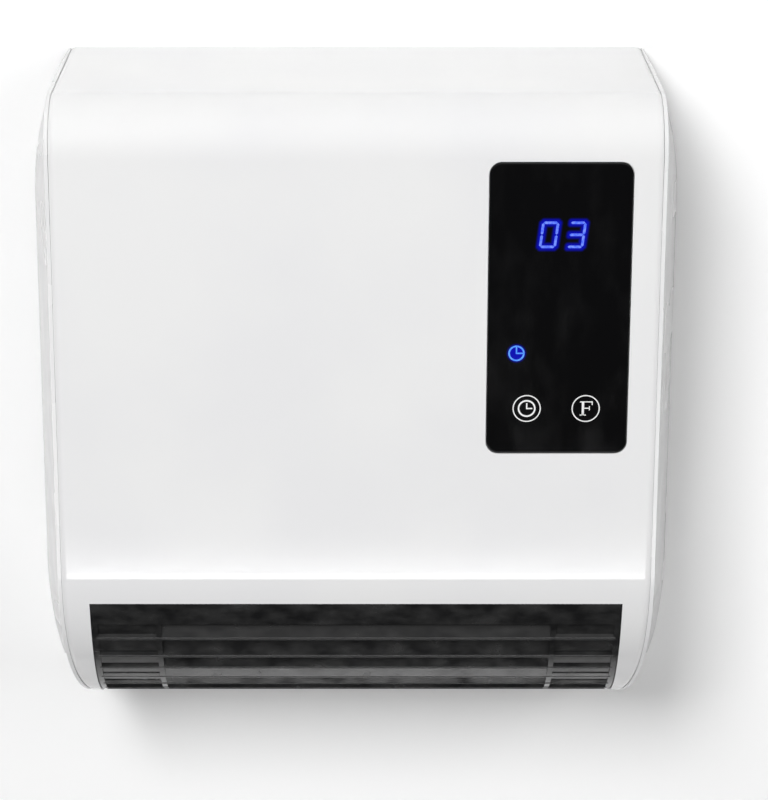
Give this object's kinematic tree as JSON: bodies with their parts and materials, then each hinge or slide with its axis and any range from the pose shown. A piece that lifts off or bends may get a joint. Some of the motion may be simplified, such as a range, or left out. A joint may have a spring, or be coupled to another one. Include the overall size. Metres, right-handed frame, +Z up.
{
  "type": "bathroom wall fan heater",
  "caption": "White wall-hung fan heater with a domed top, a touch panel on the front, a black louvred outlet in the rounded chin, flared sides and keyholes in the back.",
  "frame": {"origin": "middle of the heater's back, on the wall plane", "axes": "+Y into the wall, so the front faces -Y; +Z up; +X to the right of someone facing the heater"},
  "size_m": [0.2588, 0.1045, 0.26],
  "materials": {
    "cover_white": "moulded ABS, glossy",
    "housing_white": "moulded ABS, glossy",
    "grille_black": "moulded, satin black",
    "lens_black": "back printed acrylic, polished",
    "carrier_black": "moulded, satin black",
    "board_green": "glass epoxy laminate with solder resist",
    "digit_grey": "potted display module",
    "indicator_white": "light pipe",
    "contact_steel": "plated spring steel",
    "relay_blue": "moulded case",
    "film_yellow": "moulded box",
    "can_black": "shrink sleeve",
    "socket_white": "moulded nylon",
    "terminal_grey": "moulded nylon",
    "fan_black": "moulded glass filled plastic",
    "duct_grey": "moulded heat resistant plastic",
    "duct_sheet": "bent sheet",
    "element_fins": "corrugated fin stock",
    "ceramic_cream": "ceramic, unglazed",
    "shaft_steel": "ground",
    "screw_steel": "zinc plated",
    "bracket_steel": "pressed, zinc plated",
    "lamination_steel": "stacked laminations",
    "coil_copper": "enamelled copper winding under tape",
    "bearing_bronze": "sintered bronze",
    "rubber_black": "moulded",
    "switch_black": "moulded nylon",
    "wire_white": "insulated wire",
    "wire_red": "silicone insulated wire"
  },
  "bodies": {
    "heater": {"front_cover": "cover_white", "rear_housing": "housing_white", "outlet_grille": "grille_black", "control_lens": "lens_black", "control_frame": "carrier_black", "display_board": "board_green", "power_board": "board_green", "digit_display": "digit_grey", "timer_indicator": "indicator_white", "timer_touch_spring": "contact_steel", "function_touch_spring": "contact_steel", "low_heat_relay": "relay_blue", "high_heat_relay": "relay_blue", "film_capacitor": "film_yellow", "smoothing_capacitor": "can_black", "ribbon_socket": "socket_white", "terminal_block": "terminal_grey", "duct_end_left": "duct_grey", "duct_end_right": "duct_grey", "scroll_wall": "duct_sheet", "duct_tongue": "duct_sheet", "heating_element_upper": "element_fins", "heating_element_lower": "element_fins", "element_holder_left": "ceramic_cream", "element_holder_right": "ceramic_cream", "thermal_cutout": "ceramic_cream", "thermal_fuse": "ceramic_cream", "cover_screw_1": "screw_steel", "cover_screw_2": "screw_steel", "cover_screw_3": "screw_steel", "cover_screw_4": "screw_steel", "board_screw_1": "screw_steel", "board_screw_2": "screw_steel", "board_screw_3": "screw_steel", "board_screw_4": "screw_steel", "motor_screw_1": "screw_steel", "motor_screw_2": "screw_steel", "display_screw_1": "screw_steel", "display_screw_2": "screw_steel", "duct_screw_left": "screw_steel", "duct_screw_right": "screw_steel", "motor_bracket_inner": "bracket_steel", "motor_bracket_outer": "bracket_steel", "motor_stator": "lamination_steel", "motor_coil": "coil_copper", "axle_bearing": "bearing_bronze", "motor_bearing_inner": "bearing_bronze", "motor_bearing_outer": "bearing_bronze", "bearing_grommet": "rubber_black", "cable_gland": "rubber_black", "switch_body": "switch_black", "display_cable": "wire_white", "motor_lead": "wire_white", "heater_lead": "wire_red"},
    "fan_rotor": {"impeller": "fan_black", "impeller_axle": "shaft_steel", "drive_hub": "rubber_black", "motor_shaft": "shaft_steel", "motor_rotor": "lamination_steel"},
    "switch_button": {"switch_rocker": "switch_black"}
  },
  "joints": [
    {"name": "fan_spin", "type": "hinge", "parent": "heater", "child": "fan_rotor", "pos_m": [0, -0.04039, -0.0661], "axis": [1, 0, 0], "continuous": true},
    {"name": "switch_rock", "type": "hinge", "parent": "heater", "child": "switch_button", "pos_m": [-0.095, -0.011, -0.1225], "axis": [0, -1, 0], "range_deg": [0, 20]}
  ]
}
